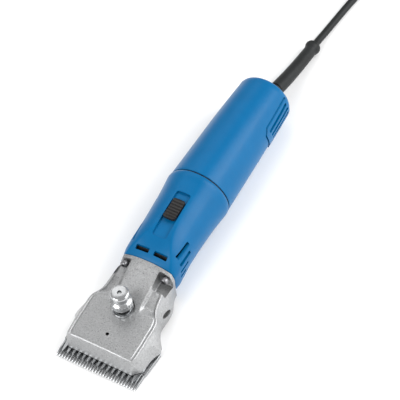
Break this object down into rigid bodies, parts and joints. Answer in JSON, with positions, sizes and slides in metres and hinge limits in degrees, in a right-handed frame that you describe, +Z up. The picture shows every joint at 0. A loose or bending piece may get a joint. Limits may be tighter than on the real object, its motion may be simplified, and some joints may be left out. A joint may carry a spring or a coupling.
{
  "type": "sheep shears",
  "caption": "Corded electric sheep shears: a motor handle drives a rocking lever that sweeps a toothed cutter across a fixed comb under a cast head.",
  "frame": {"origin": "on the surface the tool lies on, under the middle of its box without the cord", "axes": "-Y along the tool towards the comb's teeth, +Y towards the cord, +Z up to the switch and the tension knob, +X to the right as seen looking along +Y"},
  "size_m": [0.1319, 0.5768, 0.0606],
  "materials": {
    "blue_shell": "satin moulded",
    "black_plastic": "fine texture",
    "cord_rubber": "matt",
    "cast_aluminium": "tumbled casting",
    "chromed_steel": "polished",
    "ground_steel": "ground",
    "dark_steel": "blackened",
    "copper_winding": "lacquered wire",
    "carbon": "pressed",
    "brass": "turned",
    "grey_nylon": "moulded"
  },
  "bodies": {
    "handle": {"bearing_front": "ground_steel", "bearing_rear": "ground_steel", "brush_holder_left": "brass", "brush_holder_right": "brass", "brush_left": "carbon", "brush_right": "carbon", "comb": "ground_steel", "comb_screw_left": "dark_steel", "comb_screw_right": "dark_steel", "cord_coil": "cord_rubber", "cord_gland": "black_plastic", "cord_tie": "black_plastic", "field_coil_lower": "copper_winding", "field_coil_upper": "copper_winding", "field_core": "dark_steel", "front_housing": "blue_shell", "gear_bulkhead_front": "grey_nylon", "gear_bush_front": "brass", "gear_bush_rear": "brass", "head_casting": "cast_aluminium", "head_screw_left": "dark_steel", "head_screw_right": "dark_steel", "mains_cord": "cord_rubber", "mains_plug": "black_plastic", "motor_bulkhead": "grey_nylon", "plug_pin_left": "brass", "plug_pin_right": "brass", "pressure_post": "ground_steel", "rear_bulkhead": "grey_nylon", "rear_housing": "blue_shell", "seam_ring": "black_plastic", "spring_seat": "chromed_steel", "strain_relief": "cord_rubber", "switch_body": "black_plastic", "tension_spring": "ground_steel", "vent_cover_left": "blue_shell", "vent_cover_right": "blue_shell"},
    "armature": {"armature_shaft": "ground_steel", "armature_core": "dark_steel", "winding_front": "copper_winding", "winding_rear": "copper_winding", "commutator": "brass", "fan": "black_plastic", "pinion": "ground_steel"},
    "gear": {"gear_wheel": "grey_nylon", "gear_shaft": "ground_steel", "crank_disc": "ground_steel", "crank_roller": "brass"},
    "lever": {"swing_lever": "ground_steel", "lever_pivot": "brass", "lever_pin_left": "ground_steel", "lever_pin_right": "ground_steel", "cutter": "ground_steel"},
    "switch": {"switch_slider": "black_plastic"},
    "washer": {"thrust_washer": "chromed_steel"},
    "knob": {"tension_knob": "chromed_steel"}
  },
  "joints": [
    {"name": "armature_spin", "type": "hinge", "parent": "handle", "child": "armature", "pos_m": [0, 0.07, 0.028], "axis": [0, 1, 0], "continuous": true},
    {"name": "gear_spin", "type": "hinge", "parent": "handle", "child": "gear", "pos_m": [0, 0, 0.0154], "axis": [0, 1, 0], "continuous": true},
    {"name": "lever_swing", "type": "hinge", "parent": "handle", "child": "lever", "pos_m": [0, -0.103, 0.0154], "axis": [0, 0, 1], "range_deg": [-3.1, 3.1]},
    {"name": "switch_slide", "type": "slide", "parent": "handle", "child": "switch", "axis": [0, -1, 0], "range_m": [0, 0.005]},
    {"name": "knob_rise", "type": "slide", "parent": "handle", "child": "washer", "axis": [0, 0, 1], "range_m": [0, 0.00202], "deforming": ["tension_spring"]},
    {"name": "knob_turn", "type": "hinge", "parent": "washer", "child": "knob", "pos_m": [0, -0.103, 0.045], "axis": [0, 0, 1], "range_deg": [0, 720]}
  ],
  "couplings": [
    {"joint": "gear_spin", "follows": "armature_spin", "ratio": -0.33333},
    {"joint": "knob_rise", "follows": "knob_turn", "m_per_rad": 0.00015915}
  ]
}
